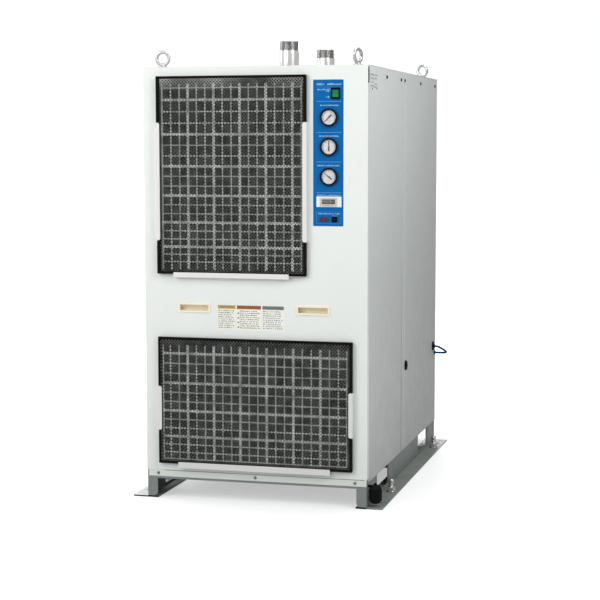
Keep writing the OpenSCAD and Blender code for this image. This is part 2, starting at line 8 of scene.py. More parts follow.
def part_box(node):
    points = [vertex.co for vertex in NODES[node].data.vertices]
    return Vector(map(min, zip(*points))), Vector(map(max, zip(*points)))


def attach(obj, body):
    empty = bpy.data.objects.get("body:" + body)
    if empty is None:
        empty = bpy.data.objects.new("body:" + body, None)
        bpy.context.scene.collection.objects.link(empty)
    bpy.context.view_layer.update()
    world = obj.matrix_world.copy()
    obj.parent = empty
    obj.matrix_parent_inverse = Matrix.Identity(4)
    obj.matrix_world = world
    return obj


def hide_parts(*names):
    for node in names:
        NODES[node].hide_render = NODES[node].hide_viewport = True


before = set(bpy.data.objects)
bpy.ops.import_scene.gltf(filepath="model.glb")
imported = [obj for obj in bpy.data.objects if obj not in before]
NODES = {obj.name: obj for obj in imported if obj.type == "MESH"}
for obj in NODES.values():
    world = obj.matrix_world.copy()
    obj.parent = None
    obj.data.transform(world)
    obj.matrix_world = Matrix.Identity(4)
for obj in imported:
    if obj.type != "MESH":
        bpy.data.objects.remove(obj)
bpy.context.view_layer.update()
rnd = random.Random(7)
scene = bpy.context.scene

# Lengths are in metres. Seen from the front, X runs to the right, Y to the rear and Z up.
SIDE_X = 0.360          # outer face of the right side panels
FRONT_Y = -0.600        # outer face of the front panel
INK = 0.00012           # thickness of the print on the instrument plate
DIAL_INK = 0.00006      # thickness of the print on the dials

# ------------------------------------------------------------------ camera
CAM_DOWN, CAM_ROLL, CAM_LEFT = 5.596, 0.065, 14.794     # degrees
cam_data = bpy.data.cameras.new("camera")
cam = bpy.data.objects.new("camera", cam_data)
scene.collection.objects.link(cam)
scene.camera = cam
cam_data.sensor_width = 36.0
cam_data.lens = 95.8
cam_data.clip_end = 60
cam.location = (1.4014, -5.3493, 1.1279)
cam.rotation_euler = (math.radians(90 - CAM_DOWN), math.radians(CAM_ROLL), math.radians(CAM_LEFT))

# ------------------------------------------------------------------ materials
MIX_FAC, MIX_A, MIX_B, MIX_OUT = 0, 6, 7, 2     # sockets of a mix node that is set to colour
BUMP_DEPTH = 0.0006


def node(nt, kind, **props):
    n = nt.nodes.new(kind)
    for k, v in props.items():
        setattr(n, k, v)
    return n


def noise(nt, vec, scale, detail=4.0, rough=0.55):
    n = node(nt, "ShaderNodeTexNoise")
    n.inputs["Scale"].default_value = scale
    n.inputs["Detail"].default_value = detail
    n.inputs["Roughness"].default_value = rough
    nt.links.new(vec, n.inputs["Vector"])
    return n.outputs["Fac"]


def mix(nt, fac, a, b):
    """Goes from a to b; each is a colour or a socket."""
    m = node(nt, "ShaderNodeMix", data_type="RGBA")
    for sock, val in ((m.inputs[MIX_A], a), (m.inputs[MIX_B], b)):
        if isinstance(val, tuple):
            sock.default_value = (*val, 1.0)
        else:
            nt.links.new(val, sock)
    nt.links.new(fac, m.inputs[MIX_FAC])
    return m.outputs[MIX_OUT]


def ramp(nt, src, lo, hi, out_lo=0.0, out_hi=1.0):
    m = node(nt, "ShaderNodeMapRange")
    for i, v in enumerate((lo, hi, out_lo, out_hi)):
        m.inputs[i + 1].default_value = v
    nt.links.new(src, m.inputs[0])
    return m.outputs[0]


def times(nt, a, b):
    m = node(nt, "ShaderNodeMath", operation="MULTIPLY")
    nt.links.new(a, m.inputs[0])
    nt.links.new(b, m.inputs[1])
    return m.outputs[0]


def along(nt, coords, axis):
    sep = node(nt, "ShaderNodeSeparateXYZ")
    nt.links.new(coords, sep.inputs[0])
    return sep.outputs[axis]


def surface(name, rgb, rough=0.45, metal=0.0, tint=0.03, tint_scale=5.0, grain=0.05, grain_scale=600.0,
            rough_var=0.08, rough_scale=25.0, stretch=(1, 1, 1), coat=0.0, patches_by_height=None, spots=None,
            alpha=1.0, spec=0.5, painted_shade=()):
    """A painted, moulded or bare surface with a slow tint, uneven gloss and fine grain in the normal.

    the patches by height are (colour, height where they are strongest, height where they end, amount);
    spots is (colour, scale, amount);
    the painted shade is a row of (axis, place where it is darkest, place where it ends, amount),
    darkening the colour towards black.
    """
    m = bpy.data.materials.new(name)
    m.use_nodes = True
    nt = m.node_tree
    bsdf = nt.nodes["Principled BSDF"]
    co = node(nt, "ShaderNodeTexCoord").outputs["Object"]
    mapping = node(nt, "ShaderNodeMapping")
    mapping.inputs["Scale"].default_value = stretch
    nt.links.new(co, mapping.inputs["Vector"])
    vec = mapping.outputs["Vector"]
    dark = tuple(c * (1 - tint) for c in rgb)
    light = tuple(min(1, c * (1 + tint)) for c in rgb)
    col = mix(nt, ramp(nt, noise(nt, vec, tint_scale), 0.3, 0.7), dark, light)
    if patches_by_height:
        patch_rgb, z0, z1, amount = patches_by_height
        low = ramp(nt, along(nt, co, "Z"), z0, z1, amount, 0.0)
        patch = ramp(nt, noise(nt, co, 9.0, 6.0), 0.35, 0.75)
        col = mix(nt, times(nt, low, patch), col, patch_rgb)
    if spots:
        spot_rgb, scale, amount = spots
        fac = ramp(nt, noise(nt, co, scale, 8.0, 0.7), 0.62, 0.74, 0.0, amount)
        col = mix(nt, fac, col, spot_rgb)
    # painted shade: the colour is darkened towards black along each axis given
    for axis, c0, c1, amount in painted_shade:
        col = mix(nt, ramp(nt, along(nt, co, axis), c0, c1, amount, 0.0), col, (0.0, 0.0, 0.0))
    nt.links.new(col, bsdf.inputs["Base Color"])
    gloss = ramp(nt, noise(nt, vec, rough_scale, 5.0), 0.3, 0.7, max(0.02, rough - rough_var),
                 rough + rough_var)
    nt.links.new(gloss, bsdf.inputs["Roughness"])
    bsdf.inputs["Metallic"].default_value = metal
    bsdf.inputs["Specular IOR Level"].default_value = spec
    bsdf.inputs["Coat Weight"].default_value = coat
    bsdf.inputs["Alpha"].default_value = alpha
    if grain:
        bump = node(nt, "ShaderNodeBump")
        bump.inputs["Strength"].default_value = min(1.0, grain * 4)
        bump.inputs["Distance"].default_value = BUMP_DEPTH
        nt.links.new(noise(nt, vec, grain_scale, 3.0), bump.inputs["Height"])
        nt.links.new(bump.outputs["Normal"], bsdf.inputs["Normal"])
    return m


# grey of the patches that darken the front and side panels low down
LOW_PATCH_GREY = (0.30, 0.30, 0.27)
M = {
    # front panel: painted shade darkens it towards the bottom, below 0.9 m; darker patches lie low down
    # as well
    "front": surface("front_paint", (0.80, 0.832, 0.802), 0.42, tint=0.012, grain=0.05, grain_scale=420,
                     patches_by_height=(LOW_PATCH_GREY, 0.09, 0.30, 0.10), coat=0.15, painted_shade=(("Z", 0.1, 0.9, 0.11),)),
    # side panels: painted shade darkens them towards the bottom and towards the rear; darker patches lie
    # below 0.9 m as well
    "side": surface("side_paint", (0.80, 0.835, 0.81), 0.46, tint=0.02, tint_scale=2.2, grain=0.05,
                    grain_scale=420, patches_by_height=(LOW_PATCH_GREY, 0.08, 0.9, 0.2),
                    painted_shade=(("Z", 0.15, 1.3, 0.41), ("Y", 0.6, -0.5, 0.23))),
    # roof: darker than the side paint, painted shade against the strong light from above
    "roof": surface("roof_painted_shade", (0.46, 0.48, 0.465), 0.46, tint=0.02, tint_scale=2.2, grain=0.05,
                    grain_scale=420),
    # filter brackets: painted shade darkens them towards the bottom
    "bracket": surface("bracket_paint", (0.75, 0.745, 0.73), 0.4, tint=0.01, grain=0.05,
                       grain_scale=420, painted_shade=(("Z", 0.1, 0.7, 0.16),)),
    # left foot: a lit copy of the rail paint, a painted highlight that is pale at the front end and fades
    # to the rail's own grey towards the rear
    "rail_painted_sheen": surface("rail_painted_highlight", (0.80, 0.83, 0.80), 0.4, tint=0.08, tint_scale=9, grain=0.08,
                         grain_scale=380, painted_shade=(("Y", -0.10, -0.50, 0.76),)),
    "rail": surface("rail_paint", (0.17, 0.195, 0.185), 0.5, tint=0.10, tint_scale=9, grain=0.08,
                    grain_scale=380, patches_by_height=((0.26, 0.25, 0.22), 0.0, 0.09, 0.4),
                    spots=((0.30, 0.30, 0.27), 60, 0.4)),
    "strip": surface("strip_paint", (0.62, 0.655, 0.61), 0.45, tint=0.03, grain=0.05, grain_scale=420),
    "galv": surface("galvanised", (0.60, 0.62, 0.63), 0.42, metal=0.85, tint=0.12, tint_scale=70,
                    rough_var=0.14, rough_scale=80, grain=0.03),
    "zinc": surface("zinc_plate", (0.74, 0.74, 0.72), 0.17, metal=1.0, tint=0.06, tint_scale=120,
                    grain=0.04, grain_scale=900),
    "pipe": surface("pipe_steel", (0.78, 0.78, 0.76), 0.23, metal=0.55, tint=0.06, tint_scale=14,
                    stretch=(1, 1, 0.12), grain=0.03, grain_scale=500, rough_var=0.06,
                    spots=((0.34, 0.30, 0.26), 45, 0.3)),
    "thread": surface("thread_steel", (0.40, 0.40, 0.39), 0.2, metal=0.85, tint=0.05, tint_scale=40,
                      grain=0.0, rough_var=0.04),
    "eye": surface("eye_steel", (0.52, 0.525, 0.52), 0.34, metal=0.7, tint=0.04, tint_scale=30,
                   grain=0.0),
    "black_frame": surface("filter_black", (0.0045, 0.0048, 0.0045), 0.6, tint=0.2, tint_scale=12,
                           grain=0.12, grain_scale=900, spots=((0.03, 0.03, 0.03), 30, 0.2), spec=0.06),
    # filter grids: the bright spots are painted highlights on the grid bars
    "grid": surface("grid_grey", (0.52, 0.54, 0.51), 0.55, tint=0.5, tint_scale=42, grain=0.08,
                    grain_scale=1100, spots=((0.95, 0.97, 0.93), 26, 0.8)),
    "net": surface("net_back", (0.006, 0.007, 0.007), 0.85, tint=0.3, tint_scale=40, grain=0.2,
                   grain_scale=1500, spec=0.2),
    "wire": surface("net_wire", (0.105, 0.110, 0.102), 0.6, tint=0.55, tint_scale=38, grain=0.0,
                    spec=0.2, patches_by_height=((0.70, 0.72, 0.68), 1.325, 1.290, 1.0)),
    "blue": surface("plate_blue", (0.0008, 0.125, 0.39), 0.5, tint=0.05, tint_scale=20, grain=0.05,
                    grain_scale=1600, rough_var=0.05, spec=0.08),
    "ink": surface("white_ink", (0.24, 0.46, 0.66), 0.5, tint=0.03, grain=0.02),
    "ink_soft": surface("soft_ink", (0.10, 0.34, 0.62), 0.5, tint=0.03, grain=0.02),
    "gloss_black": surface("case_black", (0.006, 0.006, 0.008), 0.25, tint=0.1, grain=0.02, coat=0.1,
                           spec=0.2),
    "matt_black": surface("black_matt", (0.0035, 0.004, 0.004), 0.5, tint=0.2, grain=0.12,
                          grain_scale=1400, spec=0.08),
    "shade": surface("edge_shade", (0.24, 0.27, 0.24), 0.6, tint=0.1, grain=0.0, spec=0.2),
    # seam strips: lighter than the side panels as a painted highlight; painted shade darkens them towards
    # the bottom
    "seam": surface("seam_painted_highlight", (0.80, 0.84, 0.80), 0.5, tint=0.05, grain=0.0,
                    painted_shade=(("Z", 0.15, 1.3, 0.25),)),
    "screw": surface("dark_screw", (0.010, 0.010, 0.010), 0.4, tint=0.1, grain=0.05, grain_scale=900,
                     spec=0.2),
    # black rubber; also a sheet of painted shade on the front end of the left foot
    "rubber_and_shade": surface("rubber_black", (0.004, 0.004, 0.004), 0.65, tint=0.2, grain=0.1,
                      grain_scale=900, spec=0.08),
    "cream": surface("handle_cream", (0.88, 0.80, 0.63), 0.42, tint=0.03, tint_scale=30, grain=0.08,
                     grain_scale=1200),
    "white_card": surface("white_card", (0.82, 0.82, 0.79), 0.5, tint=0.015, grain=0.03,
                          grain_scale=900),
    "dial": surface("dial_white", (0.74, 0.74, 0.74), 0.5, tint=0.02, grain=0.02, grain_scale=1200),
    "dial_ink": surface("dial_ink", (0.02, 0.02, 0.025), 0.5, tint=0.05, grain=0.0),
    "ink_grey": surface("grey_ink", (0.42, 0.42, 0.40), 0.5, tint=0.03, grain=0.0),
    "wheel": surface("wheel_grey", (0.12, 0.12, 0.105), 0.5, tint=0.06, grain=0.0),
    "wheel_dark": surface("wheel_dark", (0.045, 0.042, 0.036), 0.5, tint=0.06, grain=0.0),
    "dial_red": surface("dial_red", (0.50, 0.05, 0.05), 0.5, tint=0.05, grain=0.0),
    "dial_green": surface("dial_green", (0.10, 0.36, 0.14), 0.5, tint=0.05, grain=0.0),
    "needle": surface("needle_black", (0.006, 0.006, 0.006), 0.4, tint=0.1, grain=0.03, spec=0.2),
    "lens": surface("lens_glass", (0.95, 0.97, 1.0), 0.04, tint=0.0, rough_var=0.02, grain=0.0,
                    alpha=0.04),
    "green": surface("rocker_green", (0.002, 0.23, 0.06), 0.4, tint=0.12, tint_scale=90, grain=0.03,
                     coat=0.05, spec=0.2),
    "beige": surface("meter_beige", (0.60, 0.56, 0.50), 0.45, tint=0.03, grain=0.06, grain_scale=1300),
    "red": surface("lamp_red", (0.095, 0.022, 0.032), 0.25, tint=0.15, tint_scale=120, grain=0.03,
                   coat=0.2),
    "tube": surface("tube_blue", (0.002, 0.075, 0.19), 0.5, tint=0.12, tint_scale=60, grain=0.0,
                    spec=0.08),
    "comp": surface("compressor_black", (0.012, 0.012, 0.013), 0.3, tint=0.1, grain=0.05),
    "fins": surface("fin_aluminium", (0.62, 0.63, 0.64), 0.4, metal=0.9, tint=0.1, tint_scale=300,
                    stretch=(1, 1, 0.02), grain=0.1, grain_scale=900),
    "vessel": surface("vessel_grey", (0.05, 0.055, 0.06), 0.6, tint=0.15, grain=0.15, grain_scale=300),
    "copper": surface("copper", (0.66, 0.30, 0.16), 0.32, metal=0.9, tint=0.12, tint_scale=30,
                      grain=0.02),
    "enclosure": surface("box_plastic", (0.60, 0.62, 0.61), 0.45, tint=0.02, grain=0.06),
    "lab_yellow": surface("label_yellow", (0.46, 0.34, 0.03), 0.45, tint=0.03, grain=0.02),
    "lab_orange": surface("label_orange", (0.30, 0.088, 0.02), 0.45, tint=0.03, grain=0.02),
    "lab_blue": surface("label_blue", (0.14, 0.18, 0.19), 0.45, tint=0.03, grain=0.02),
    "lab_bg": surface("label_back", (0.82, 0.82, 0.74), 0.42, tint=0.02, grain=0.02),
    "lab_ink": surface("label_ink", (0.10, 0.10, 0.11), 0.5, tint=0.05, grain=0.0),
}
PAINT = {
    "rail": ["left_rail", "right_rail", "right_rail_foot", "cross_beams"],
    "rail_painted_sheen": ["left_rail_foot"],
    "strip": ["front_cross_member"],
    "front": ["front_panel", "front_panel_flanges"],
    "roof": ["roof_panel"],
    "bracket": ["filter_brackets"],
    "side": ["left_side_panel_front", "left_side_panel_rear", "right_side_panel_front",
             "right_side_panel_rear", "rear_panel"],
    "galv": ["base_tray", "inner_frame", "instrument_bracket", "fan_shroud"],
    "cream": ["pull_handles"],
    "lab_bg": ["information_label"],
    "black_frame": ["upper_filter_frame", "lower_filter_frame"],
    "grid": ["upper_filter_grid", "lower_filter_grid"],
    "net": ["upper_filter_net", "lower_filter_net"],
    "blue": ["instrument_plate"],
    "gloss_black": ["gauge_cases", "reset_button"],
    "dial": ["gauge_dials"],
    "lens": ["gauge_lenses"],
    "needle": ["needle_1", "needle_2", "needle_3"],
    "matt_black": ["switch_frame", "button_frame", "fan_rotor", "auto_drain", "drain_tube_fitting",
                   "strainer_head", "strainer_bowl"],
    "green": ["switch_rocker"],
    "beige": ["hour_meter"],
    "red": ["alarm_lamp"],
    "eye": ["eye_bolts"],
    "pipe": ["air_inlet_pipe", "air_outlet_pipe"],
    "comp": ["compressor", "fan_motor"],
    "rubber_and_shade": ["compressor_feet", "power_bushing"],
    "fins": ["condenser_coil"],
    "vessel": ["heat_exchanger", "moisture_separator"],
    "copper": ["refrigerant_piping"],
    "enclosure": ["electrical_box"],
    "tube": ["drain_tube"],
    "zinc": ["panel_screws", "levelling_bolts"],
}
for key, part_names in PAINT.items():
    for part_name in part_names:
        part = NODES[part_name]
        part.data.materials.clear()
        part.data.materials.append(M[key])

# ------------------------------------------------------------------ mesh tools


def ring_quads(rows, seg):
    """Faces between rows + 1 rings of seg points each."""
    return [(j * seg + i, j * seg + (i + 1) % seg, (j + 1) * seg + (i + 1) % seg, (j + 1) * seg + i)
            for j in range(rows) for i in range(seg)]


class Build:
    """Collects faces with a material each, then makes one object."""
    BOX_FACES = [(0, 1, 3, 2), (4, 6, 7, 5), (0, 4, 5, 1), (2, 3, 7, 6), (0, 2, 6, 4), (1, 5, 7, 3)]
    TURN = {"Z": Matrix(), "X": Matrix.Rotation(math.pi / 2, 4, "Y"),
            "-Y": Matrix.Rotation(math.pi / 2, 4, "X")}

    def __init__(self):
        self.verts, self.faces, self.indexes, self.smooth, self.mats = [], [], [], [], []

    def mat(self, key):
        if M[key] not in self.mats:
            self.mats.append(M[key])
        return self.mats.index(M[key])

    def add(self, verts, faces, key, smooth=False):
        first = len(self.verts)
        self.verts += [tuple(p) for p in verts]
        self.faces += [tuple(first + i for i in f) for f in faces]
        self.indexes += [self.mat(key)] * len(faces)
        self.smooth += [smooth] * len(faces)

    def box(self, lo, hi, key):
        corners = [(x, y, z) for x in (lo[0], hi[0]) for y in (lo[1], hi[1]) for z in (lo[2], hi[2])]
        self.add(corners, self.BOX_FACES, key)

    def flat(self, pts, y, t, key):
        """A plate of thickness t before y: outline in x, z, anticlockwise seen from the front."""
        n = len(pts)
        v = [(x, y - t, z) for x, z in pts] + [(x, y, z) for x, z in pts]
        f = [tuple(range(n)), tuple(range(2 * n - 1, n - 1, -1))]
        f += [(i, n + i, n + (i + 1) % n, (i + 1) % n) for i in range(n)]
        self.add(v, f, key)

    def rect(self, x0, x1, z0, z1, y, t, key):
        self.flat([(x0, z0), (x1, z0), (x1, z1), (x0, z1)], y, t, key)

    def lathe(self, prof, key, at=(0, 0, 0), axis="Z", seg=48):
        """Revolves (radius, height) pairs; closes on the axis where the radius is 0."""
        v = []
        for r, h in prof:
            for i in range(seg):
                a = 2 * math.pi * i / seg
                v.append((r * math.cos(a), r * math.sin(a), h))
        turn = self.TURN[axis]
        self.add([Vector(at) + (turn @ Vector(p)) for p in v], ring_quads(len(prof) - 1, seg), key, True)

    def done(self, name, body, swaps=()):
        me = bpy.data.meshes.new(name)
        me.from_pydata(self.verts, [], self.faces)
        for mt in self.mats:
            me.materials.append(mt)
        me.polygons.foreach_set("material_index", self.indexes)
        me.polygons.foreach_set("use_smooth", self.smooth)
        me.update()
        bm = bmesh.new()
        bm.from_mesh(me)
        bmesh.ops.remove_doubles(bm, verts=bm.verts, dist=1e-6)
        bmesh.ops.recalc_face_normals(bm, faces=bm.faces)
        bm.to_mesh(me)
        bm.free()
        o = bpy.data.objects.new(name, me)
        scene.collection.objects.link(o)
        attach(o, body)
        if swaps:
            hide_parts(*swaps)


# ------------------------------------------------------------------ drain tube loop
# Centre line in millimetres, from the upper fitting round the loop and back into the side panel.
ROUTE = [(369, 545, 369), (376, 545, 368.6), (384, 546, 366), (393, 550, 360.5), (402, 558, 353.5),
         (407.4, 569, 346.5), (404, 578, 342), (395, 582, 340.4), (384, 583, 340), (374, 583, 340),
         (363.2, 583, 340)]
TUBE_R = 0.004


def catmull(pts, m):
    """A smooth curve through all the points, with m steps between two of them."""
    out = []
    P = [Vector(p) for p in pts]
    for i in range(len(P) - 1):
        a, b, c, d = P[max(i - 1, 0)], P[i], P[i + 1], P[min(i + 2, len(P) - 1)]
        for j in range(m):
            t = j / m
            out.append(0.5 * (2 * b + (c - a) * t + (2 * a - 5 * b + 4 * c - d) * t * t
                              + (3 * b - a - 3 * c + d) * t ** 3))
    return out + [P[-1]]


loop = [p / 1000 for p in catmull(ROUTE, 5)]
cu = bpy.data.curves.new("drain_tube_loop", "CURVE")
cu.dimensions = "3D"
cu.bevel_depth = TUBE_R
cu.bevel_resolution = 6
cu.use_fill_caps = True
sp = cu.splines.new("POLY")
sp.points.add(len(loop) - 1)
for q, p in zip(sp.points, loop):
    q.co = (*p, 1)
cu.materials.append(M["tube"])
tube = bpy.data.objects.new("drain_tube_loop", cu)
scene.collection.objects.link(tube)
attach(tube, "cabinet")
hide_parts("drain_tube")

# ------------------------------------------------------------------ woven nets before the dark backing
NET_PITCH, NET_WIRE = 0.0072, 0.0019    # distance between the wires, width of a wire
NET_INSET = 0.0078                      # from the frame's outer edge to the net
UPPER_LEFT_INSET = 0.0125


def into(p, q, x0, x1):
    """The end p of the line from p to q, both (x, z), moved along it until it lies within x0 to x1."""
    x = min(max(p[0], x0), x1)
    if x == p[0]:
        return p
    return x, p[1] + (x - p[0]) / (q[0] - p[0]) * (q[1] - p[1])


def weave(name, body, x0, x1, z0, z1, y):
    """Wires at 45 degrees, rising to the right and then to the left, cut off at the window."""
    b = Build()
    for s, lift in ((1, 0.0004), (-1, 0.0)):
        c = -(z1 - z0)
        while c < (x1 - x0) + (z1 - z0):
            low, high = ((x0 + c + s * (z - z0), z) for z in (z0, z1))
            if max(low[0], high[0]) > x0 and min(low[0], high[0]) < x1:
                low = into(low, high, x0, x1)
                high = into(high, low, x0, x1)
                d = Vector((high[0] - low[0], 0, high[1] - low[1]))
                if d.length > NET_PITCH:
                    half = Vector((-d.z, 0, d.x)).normalized() * NET_WIRE / 2
                    A, B = (Vector((x, y - lift, z)) for x, z in (low, high))
                    ridge = Vector((0, -NET_WIRE * 0.6, 0))
                    v = [A - half, A + half, A + ridge, B - half, B + half, B + ridge]
                    b.add(v, [(0, 3, 5, 2), (1, 2, 5, 4)], "wire")
            c += NET_PITCH * math.sqrt(2)
    b.done(name, body)


for which, left_inset in (("upper", UPPER_LEFT_INSET), ("lower", NET_INSET)):
    lo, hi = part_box(which + "_filter_frame")
    weave(which + "_filter_weave", which + "_filter", lo.x + left_inset, hi.x - NET_INSET,
          lo.z + NET_INSET, hi.z - NET_INSET, lo.y + 0.0009)


# ------------------------------------------------------------------ printing tools
def dashes(b, x0, x1, z, h, key, y, t=INK, unit=0.0022, gap=0.0009):
    """A row of short bars, as unreadable small print."""
    x = x0
    while x < x1 - 0.0004:
        w = min(unit * rnd.uniform(0.5, 1.5), x1 - x)
        tall = h * rnd.choice((1.0, 1.0, 0.72))
        b.rect(x, x + w, z - h / 2, z - h / 2 + tall, y, t, key)
        x += w + gap * rnd.choice((1, 1, 1, 2.6))


def number(b, text, x, z, size, y, key):
    cu = bpy.data.curves.new("num", "FONT")
    cu.body = text
    cu.size = size
    cu.align_x = "CENTER"
    cu.align_y = "CENTER"
    o = bpy.data.objects.new("num", cu)
    scene.collection.objects.link(o)
    dg = bpy.context.evaluated_depsgraph_get()
    me = bpy.data.meshes.new_from_object(o.evaluated_get(dg))
    v = [(x + p.co.x, y, z + p.co.y) for p in me.vertices]
    b.add(v, [tuple(p.vertices) for p in me.polygons], key)
    bpy.data.objects.remove(o)
    bpy.data.curves.remove(cu)
    bpy.data.meshes.remove(me)


# ------------------------------------------------------------------ instrument plate printing
plate_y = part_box("instrument_plate")[0].y
LEFT, RIGHT = 0.199, 0.278              # ends of the lines across the plate
LAMP_Z0, LAMP_Z1 = 0.8836, 0.9200       # outline round the lamp and the button
LINE_W = 0.0005
ink = Build()
for z in (1.2555, 1.1615, 1.072, 0.978):
    ink.rect(LEFT, RIGHT, z - 0.0007, z + 0.0007, plate_y, INK, "ink_soft")
ink.rect(LEFT, RIGHT, 1.2985, 1.2991, plate_y, INK, "ink_soft")
for x0, x1, z, height, unit in (
        (0.200, 0.224, 1.3075, 0.0062, 0.0036), (0.233, 0.277, 1.3075, 0.0052, 0.0034),
        (0.202, 0.243, 1.2915, 0.0042, 0.0022), (0.2105, 0.269, 1.2435, 0.0036, 0.0022),
        (0.207, 0.270, 1.1505, 0.0042, 0.0022), (0.202, 0.273, 1.0610, 0.0044, 0.0022),
        (0.202, 0.275, 0.9700, 0.0044, 0.0022), (0.205, 0.272, 0.9140, 0.0038, 0.0022),
        (0.2485, 0.2655, 0.9075, 0.0026, 0.0016)):
    dashes(ink, x0, x1, z, height, "ink", plate_y, unit=unit)
for z in (1.2868, 1.2688):
    ink.flat([(0.2365 + 0.0028 * math.cos(i * math.pi / 8), z + 0.0028 * math.sin(i * math.pi / 8))
              for i in range(16)], plate_y, INK, "ink")
    dashes(ink, 0.2275, 0.2335, z, 0.0024, "ink", plate_y, unit=0.0016)
for x0, x1, z0, z1 in (
        (LEFT, RIGHT, LAMP_Z1 - LINE_W, LAMP_Z1), (LEFT, RIGHT, LAMP_Z0, LAMP_Z0 + LINE_W),
        (LEFT, LEFT + LINE_W, LAMP_Z0, LAMP_Z1), (RIGHT - LINE_W, RIGHT, LAMP_Z0, LAMP_Z1)):
    ink.rect(x0, x1, z0, z1, plate_y, INK, "ink_soft")
# white card behind the hour meter
ink.rect(LEFT, RIGHT, 0.9345, 0.9665, plate_y, 0.00018, "white_card")
ink.done("instrument_printing", "cabinet")

# ------------------------------------------------------------------ gauge dials
GAUGE_X = 0.2385
GAUGES = (      # height of the middle, step of the numbers, coloured arcs in degrees from the top
    (1.207, 5, (("dial_red", 95, 132),)),
    (1.1175, 2, (("dial_red", -132, -70), ("dial_green", 30, 110))),
    (1.0266, 2, (("dial_red", 40, 128),)))
DIVISIONS, SWEEP = 50, 270
NUMBER_R = 0.0118
TICK_OUT, BAND_IN, BAND_OUT = 0.0185, 0.0190, 0.0200
BAND_STEPS = 24
dial_y = plate_y - 0.0018


def dial_point(zc, degrees, r):
    a = math.radians(degrees)
    return GAUGE_X + r * math.sin(a), zc + r * math.cos(a)


dials = Build()
for zc, step_value, arcs in GAUGES:
    for i in range(DIVISIONS + 1):
        a = math.radians(-SWEEP / 2 + SWEEP * i / DIVISIONS)
        r0, w = (0.0148, 0.00042) if i % 5 == 0 else (0.0166, 0.0002)
        dx, dz = math.sin(a), math.cos(a)
        nx, nz = dz * w / 2, -dx * w / 2
        dials.flat([(GAUGE_X + dx * r + side * nx, zc + dz * r + side * nz)
                    for r, side in ((r0, -1), (TICK_OUT, -1), (TICK_OUT, 1), (r0, 1))],
                   dial_y, DIAL_INK, "dial_ink")
    for i in range(0, DIVISIONS + 1, 10):
        x, z = dial_point(zc, -SWEEP / 2 + SWEEP * i / DIVISIONS, NUMBER_R)
        number(dials, str(i // 10 * step_value), x, z, 0.0034, dial_y - DIAL_INK, "dial_ink")
    for key, a0, a1 in arcs:
        for i in range(BAND_STEPS):
            start, end = (a0 + (a1 - a0) * k / BAND_STEPS for k in (i, i + 1))
            dials.flat([dial_point(zc, start, BAND_IN), dial_point(zc, end, BAND_IN),
                        dial_point(zc, end, BAND_OUT), dial_point(zc, start, BAND_OUT)],
                       dial_y, DIAL_INK, key)
    for half, down, height in ((0.005, 0.0095, 0.0013), (0.003, 0.0125, 0.0011)):
        dashes(dials, GAUGE_X - half, GAUGE_X + half, zc - down, height, "dial_ink", dial_y, DIAL_INK,
               unit=0.0008, gap=0.0004)
dials.done("dial_printing", "cabinet")

# ------------------------------------------------------------------ hour meter face
meter_y = plate_y - 0.0014
WHEEL_PITCH, WHEEL_HALF = 0.0064, 0.0026
meter = Build()
meter.rect(0.2162, 0.2578, 0.9435, 0.9578, meter_y, 0.0001, "wheel_dark")
for i, digit in enumerate("003752"):
    x = 0.2198 + i * WHEEL_PITCH
    meter.rect(x - WHEEL_HALF, x + WHEEL_HALF, 0.9455, 0.9565, meter_y - 0.0001, 0.00015,
               "wheel" if i < 5 else "wheel_dark")
    number(meter, digit, x, 0.951, 0.0078, meter_y - 0.0003, "ink_grey")
dashes(meter, 0.2225, 0.2515, 0.9395, 0.0016, "dial_ink", plate_y - 0.0024, DIAL_INK, unit=0.001,
       gap=0.0005)
meter.done("hour_meter_face", "cabinet")

# ------------------------------------------------------------------ label of three columns, without words
label_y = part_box("information_label")[0].y + 0.0003
LABEL_Z0, LABEL_Z1 = 0.546, 0.626
COLUMNS = ((-0.121, -0.061, "lab_yellow"), (-0.0585, 0.022, "lab_orange"), (0.0245, 0.096, "lab_blue"))
label = Build()
for x0, x1, key in COLUMNS:
    label.rect(x0, x1, LABEL_Z0, LABEL_Z1, label_y, 0.0002, "lab_bg")
    label.rect(x0 + 0.0012, x1 - 0.0012, LABEL_Z1 - 0.0125, LABEL_Z1 - 0.0012, label_y - 0.0002,
               0.00005, key)
    dashes(label, x0 + 0.008, x1 - 0.008, 0.6192, 0.0026, "lab_ink", label_y - 0.00025, 0.00003,
           unit=0.0026)
    left = x0 + (0.0105 if key == "lab_orange" else 0.003)
    z = 0.6075
    while z > 0.551:
        dashes(label, left, x1 - rnd.uniform(0.003, 0.014), z, 0.0026, "lab_ink", label_y - 0.0002,
               0.00004, unit=0.0042, gap=0.0016)
        z -= 0.0066
# small triangles before the lines of the middle column
for i in range(4):
    z = 0.604 - i * 0.0145
    label.flat([(-0.0565, z - 0.0058), (-0.0495, z - 0.0058), (-0.053, z + 0.0003)],
               label_y - 0.0002, 0.00005, "lab_ink")
label.done("label_print", "front_panel", swaps=("information_label",))

# ------------------------------------------------------------------ pipe ends with a real screw thread
THREAD_STEPS = 6        # rows of points for one turn
PIPE_R, BORE_R, THREAD_R, ROOT_R = 0.03025, 0.0264, 0.0298, 0.0286
PIPE_PITCH, THREAD_LEN = 0.00231, 0.029


def thread_grid(b, at, z0, z1, crest, root, pitch, key, seg):
    rows = int((z1 - z0) / pitch * THREAD_STEPS)
    v = []
    for j in range(rows + 1):
        z = z0 + (z1 - z0) * j / rows
        run_out = min(1.0, (z - z0) / (pitch * 1.5))
        for i in range(seg):
            a = 2 * math.pi * i / seg
            turn = ((z - z0) / pitch - i / seg) % 1.0
            from_crest = min(1, max(0, (abs(2 * turn - 1) - 0.12) / 0.76))
            r = crest - (crest - root) * from_crest * run_out
            v.append((at[0] + r * math.cos(a), at[1] + r * math.sin(a), z))
    b.add(v, ring_quads(rows, seg), key)


